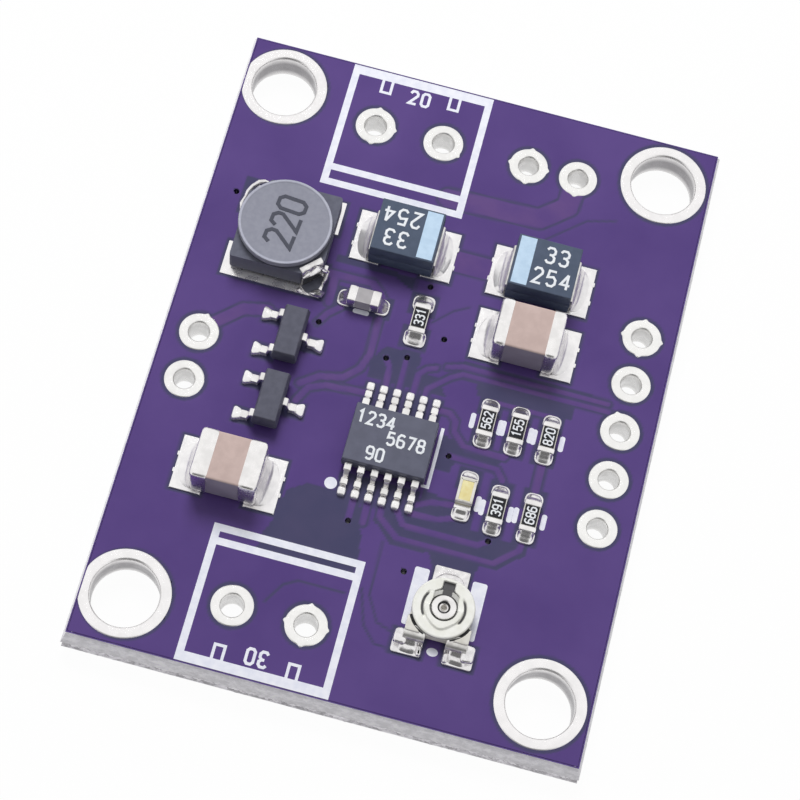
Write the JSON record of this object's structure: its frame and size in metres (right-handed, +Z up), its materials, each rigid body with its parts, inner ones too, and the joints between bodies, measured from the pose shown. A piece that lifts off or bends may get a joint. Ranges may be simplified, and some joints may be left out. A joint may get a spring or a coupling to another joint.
{
  "type": "solar charge controller module",
  "caption": "Small purple circuit board that charges a battery from a solar panel, with surface-mounted parts, unfilled header and terminal holes and corner mounting holes.",
  "frame": {"origin": "centre of the board's underside, the bottom centre of the bounding box", "axes": "+Y along the board's long side towards the upper screw terminal's holes, +X along its short side towards the five-pin header's holes, +Z up out of the side that carries the parts"},
  "size_m": [0.0244, 0.033, 0.0038],
  "materials": {
    "solder_mask": "glossy purple solder mask on glass-fibre laminate",
    "tinned_copper": "tinned copper, bright",
    "solder": "bright solder",
    "tinned_lead": "tin-plated sheet, satin",
    "white_print": "white printed ink",
    "grey_print": "pale printed ink",
    "dark_mark": "dark marking",
    "ferrite": "matt ground ferrite",
    "enamelled_wire": "enamelled copper wire",
    "black_moulding": "matt moulding compound",
    "grey_moulding": "satin moulding compound",
    "tan_ceramic": "matt fired ceramic",
    "white_ceramic": "matt alumina",
    "black_glaze": "glossy overglaze",
    "lamp_laminate": "glossy laminate",
    "lamp_resin": "clear yellowish resin",
    "track_ink": "matt resistive ink",
    "rotor_plastic": "satin cream plastic"
  },
  "bodies": {
    "module": {"circuit_board": "solder_mask", "mounting_hole_plating": "tinned_copper", "header_hole_plating": "tinned_copper", "left_pair_plating": "tinned_copper", "right_pair_plating": "tinned_copper", "upper_terminal_plating": "tinned_copper", "lower_terminal_plating": "tinned_copper", "via_plating": "tinned_copper", "terminal_outlines": "white_print", "part_marks": "white_print", "inductor_base": "ferrite", "inductor_core": "ferrite", "inductor_winding": "enamelled_wire", "inductor_terminals": "tinned_lead", "inductor_mark": "dark_mark", "inductor_pads": "tinned_copper", "inductor_solder": "solder", "left_tantalum_body": "black_moulding", "right_tantalum_body": "black_moulding", "tantalum_straps": "tinned_lead", "tantalum_stripes": "grey_print", "tantalum_marks": "grey_print", "tantalum_solder": "solder", "upper_ceramic_body": "tan_ceramic", "lower_ceramic_body": "tan_ceramic", "ceramic_end_caps": "tinned_lead", "ceramic_solder": "solder", "power_pads": "tinned_copper", "resistor_bodies": "white_ceramic", "resistor_coatings": "black_glaze", "resistor_caps": "tinned_lead", "resistor_marks": "white_print", "small_capacitor_body": "tan_ceramic", "small_capacitor_caps": "tinned_lead", "lamp_body": "lamp_laminate", "lamp_lens": "lamp_resin", "lamp_caps": "tinned_lead", "chip_pads": "tinned_copper", "chip_solder": "solder", "upper_tripod_body": "black_moulding", "lower_tripod_body": "black_moulding", "tripod_legs": "tinned_lead", "tripod_pads": "tinned_copper", "tripod_solder": "solder", "controller_body": "grey_moulding", "controller_legs": "tinned_lead", "controller_pads": "tinned_copper", "controller_solder": "solder", "controller_mark": "grey_print", "trimmer_base": "white_ceramic", "trimmer_track": "track_ink", "trimmer_eyelet": "tinned_lead", "trimmer_wiper_terminal": "tinned_lead", "trimmer_end_terminals": "tinned_lead", "trimmer_pads": "tinned_copper", "trimmer_solder": "solder"},
    "trimmer_rotor": {"trimmer_rotor": "rotor_plastic"}
  },
  "joints": [
    {"name": "trimmer_turn", "type": "hinge", "parent": "module", "child": "trimmer_rotor", "pos_m": [0.0043, -0.01079, 0.0024], "axis": [0, 0, 1], "range_deg": [-115, 115]}
  ]
}
